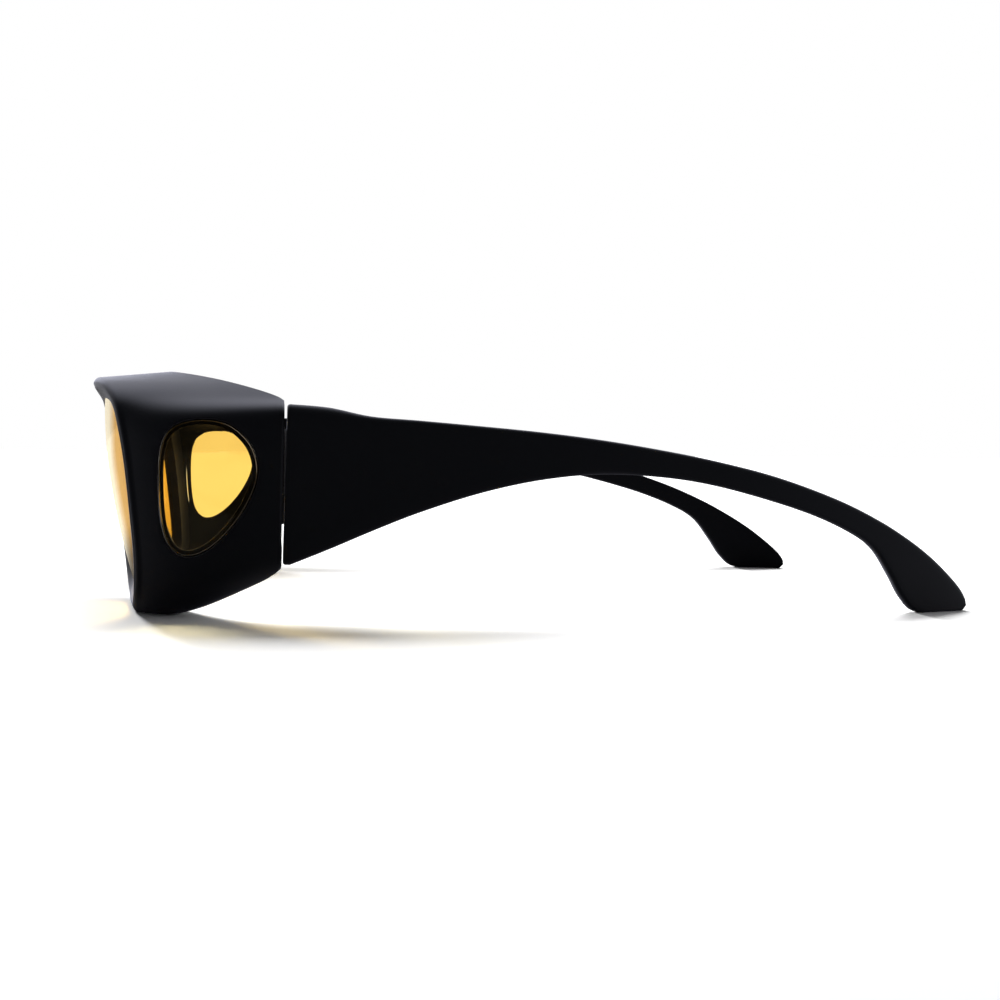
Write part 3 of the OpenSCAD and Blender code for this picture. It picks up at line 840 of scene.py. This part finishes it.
# places in metres from the sheet's middle: over the first two a painted shade turns it darker and
# lavender, and behind the other two it is white in reflections and through the lenses, where it is
# dark elsewhere
painted_falloff_mask = mapped(nodes, 2.17, 2.32, kind="SMOOTHSTEP")
behind = mapped(nodes, 1.98, 1.85, kind="SMOOTHSTEP")
# painted shade: the camera's white floor falls to a darker lavender towards the camera
shade = ramp(nodes, (1.42, 1.42, 1.42), (0.74, 0.75, 0.785))
plain = nodes.new("ShaderNodeMix")
plain.data_type = "RGBA"
plain.inputs["A"].default_value = (0.17, 0.17, 0.18, 1)
plain.inputs["B"].default_value = (0.92, 0.92, 0.92, 1)
white = nodes.new("ShaderNodeMix")
white.data_type = "RGBA"
matt = nodes.new("ShaderNodeBsdfDiffuse")
path = nodes.new("ShaderNodeLightPath")
links.new(place.outputs["Object"], apart.inputs["Vector"])
links.new(apart.outputs["X"], painted_falloff_mask.inputs["Value"])
links.new(apart.outputs["X"], behind.inputs["Value"])
links.new(painted_falloff_mask.outputs["Result"], shade.inputs["Fac"])
sharp = joined(nodes, links, "MAXIMUM", path.outputs["Is Glossy Ray"], path.outputs["Is Transmission Ray"])
mirrored = joined(nodes, links, "MULTIPLY", behind.outputs["Result"], sharp)
links.new(mirrored, plain.inputs["Factor"])
links.new(path.outputs["Is Camera Ray"], white.inputs["Factor"])
links.new(plain.outputs["Result"], white.inputs["A"])
links.new(shade.outputs["Color"], white.inputs["B"])
links.new(white.outputs["Result"], matt.inputs["Color"])
links.new(matt.outputs["BSDF"], nodes["Material Output"].inputs["Surface"])
finish_in(floor, paper)

# Light: a broad soft lamp high behind the goggles, whose shadow falls towards the camera, a small
# one low behind them that draws the long thin streak, and surroundings that are white behind and
# dim on the camera's side, so that the near side is black.
def soft_sun(name, power, width, rise, turn):
    """A lamp behind the goggles: its width across, its height above the floor and how far its
    shadows turn rearwards, all in degrees"""
    lamp = bpy.data.lights.new(name, "SUN")
    lamp.energy = power
    lamp.angle = math.radians(width)
    holder = bpy.data.objects.new(name, lamp)
    rise, turn = math.radians(rise), math.radians(turn)
    way = Vector((math.cos(turn) * math.cos(rise), math.sin(turn) * math.cos(rise), -math.sin(rise)))
    holder.rotation_euler = way.to_track_quat("-Z", "Y").to_euler()
    holder.visible_glossy = False
    bpy.context.collection.objects.link(holder)


soft_sun("high_back_light", power=3.2, width=30, rise=42, turn=-5)
soft_sun("low_back_light", power=6, width=6, rise=10.5, turn=12)

world = bpy.data.worlds.new("studio")
bpy.context.scene.world = world
world.use_nodes = True
nodes, links = world.node_tree.nodes, world.node_tree.links
direction = nodes.new("ShaderNodeTexCoord")
apart = nodes.new("ShaderNodeSeparateXYZ")
forward = mapped(nodes, -0.75, -0.2, kind="SMOOTHSTEP")
not_rear = mapped(nodes, 1.0, 0.6, kind="SMOOTHSTEP")
ahead = mapped(nodes, -0.1, -0.3, kind="SMOOTHSTEP")
front_dim = mapped(nodes, 0, 1, 0.85, 0.1)
dim = ramp(nodes, (1, 1, 1), (0.03, 0.031, 0.034))
white = nodes.new("ShaderNodeMix")
white.data_type = "RGBA"
white.inputs["B"].default_value = (1, 1, 1, 1)
path = nodes.new("ShaderNodeLightPath")
links.new(direction.outputs["Generated"], apart.inputs["Vector"])
links.new(apart.outputs["X"], forward.inputs["Value"])
links.new(apart.outputs["Y"], not_rear.inputs["Value"])
links.new(apart.outputs["Y"], ahead.inputs["Value"])
dark = joined(nodes, links, "MULTIPLY", forward.outputs["Result"], not_rear.outputs["Result"])
links.new(path.outputs["Is Glossy Ray"], front_dim.inputs["Value"])
front_dark = joined(nodes, links, "MULTIPLY", ahead.outputs["Result"], front_dim.outputs["Result"])
dark = joined(nodes, links, "MAXIMUM", dark, front_dark)
links.new(dark, dim.inputs["Fac"])
links.new(dim.outputs["Color"], white.inputs["A"])
links.new(path.outputs["Is Camera Ray"], white.inputs["Factor"])
links.new(white.outputs["Result"], nodes["Background"].inputs["Color"])
nodes["Background"].inputs["Strength"].default_value = 1
